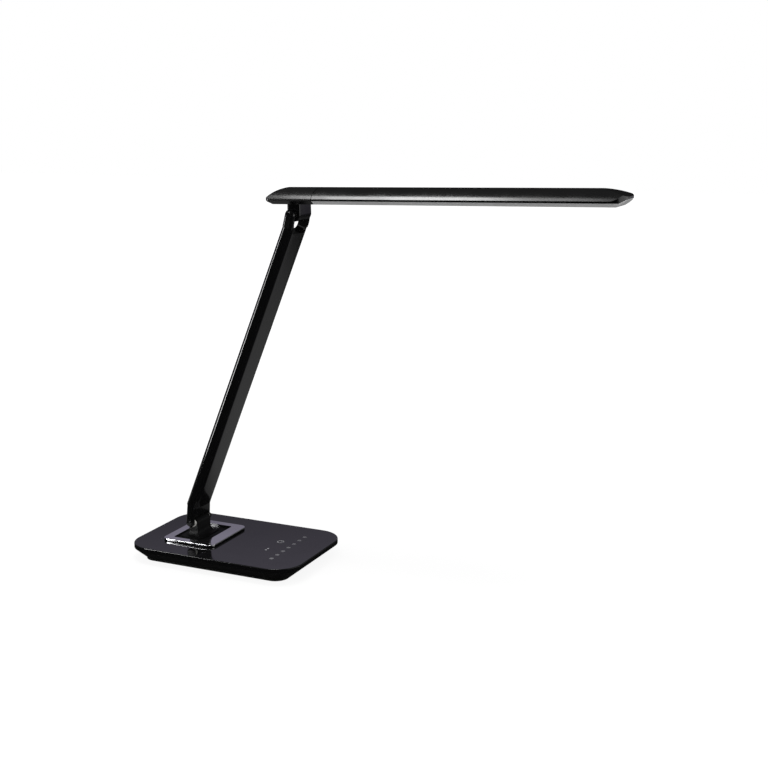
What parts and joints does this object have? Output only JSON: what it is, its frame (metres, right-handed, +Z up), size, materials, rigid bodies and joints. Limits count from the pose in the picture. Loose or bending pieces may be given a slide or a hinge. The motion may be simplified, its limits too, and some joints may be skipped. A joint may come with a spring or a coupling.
{
  "type": "led desk lamp",
  "caption": "LED desk lamp: weighted touch base with a swivelling chrome-framed plate, a leaning forked arm and a long crowned light bar with a white diffuser.",
  "frame": {"origin": "on the table under the middle of the base", "axes": "+Z up, +X from the arm's foot towards the tip of the light bar, +Y to the left of that"},
  "size_m": [0.5304, 0.1352, 0.415],
  "materials": {
    "gloss_black": "gloss",
    "satin_black": "satin",
    "satin_chrome": "satin",
    "diffuser_white": "satin",
    "foot_rubber": "matte",
    "steel": "plain",
    "alloy": "plain",
    "board_green": "satin",
    "lens_grey": "satin",
    "jack_black": "satin",
    "nylon": "satin",
    "lead_grey": "satin",
    "chip_yellow": "satin"
  },
  "bodies": {
    "base": {"base_tray": "satin_black", "top_panel": "gloss_black", "bottom_cover": "satin_black", "cover_screws": "steel", "rubber_feet": "foot_rubber", "ballast_plate": "steel", "control_board": "board_green", "indicator_lenses": "lens_grey", "dc_jack": "jack_black", "swivel_bush": "nylon", "thrust_washer": "nylon"},
    "turntable": {"turntable_plate": "satin_black", "frame_ring": "satin_chrome", "pedestal": "satin_black", "swivel_spindle": "steel", "spindle_nut": "steel"},
    "arm": {"arm_housing": "gloss_black", "arm_back_cover": "satin_black", "arm_core": "steel", "arm_lead": "lead_grey", "lower_hinge_pin": "steel", "lower_pivot_caps": "gloss_black", "lower_friction_washers": "nylon", "upper_hinge_pin": "steel", "upper_pivot_caps": "gloss_black", "upper_friction_washers": "nylon"},
    "neck": {"head_neck": "satin_black", "neck_spindle": "steel", "spindle_clip": "steel"},
    "head": {"head_end_cap": "satin_black", "head_housing": "gloss_black", "head_diffuser": "diffuser_white", "head_spine": "alloy", "led_board": "alloy", "led_chips": "chip_yellow", "spine_screws": "steel"}
  },
  "joints": [
    {"name": "base_swivel", "type": "hinge", "parent": "base", "child": "turntable", "pos_m": [-0.0408, 0, 0.0181], "axis": [0, 0, 1], "range_deg": [-90, 90]},
    {"name": "arm_tilt", "type": "hinge", "parent": "turntable", "child": "arm", "pos_m": [-0.0471, 0, 0.0346], "axis": [0, 1, 0], "range_deg": [-36, 40]},
    {"name": "head_tilt", "type": "hinge", "parent": "arm", "child": "neck", "pos_m": [0.08323, 0, 0.38049], "axis": [0, 1, 0], "range_deg": [-60, 110]},
    {"name": "head_swivel", "type": "hinge", "parent": "neck", "child": "head", "pos_m": [0.08498, 0, 0.38053], "axis": [-0.0236, 0, 0.9997], "range_deg": [-90, 90]}
  ]
}
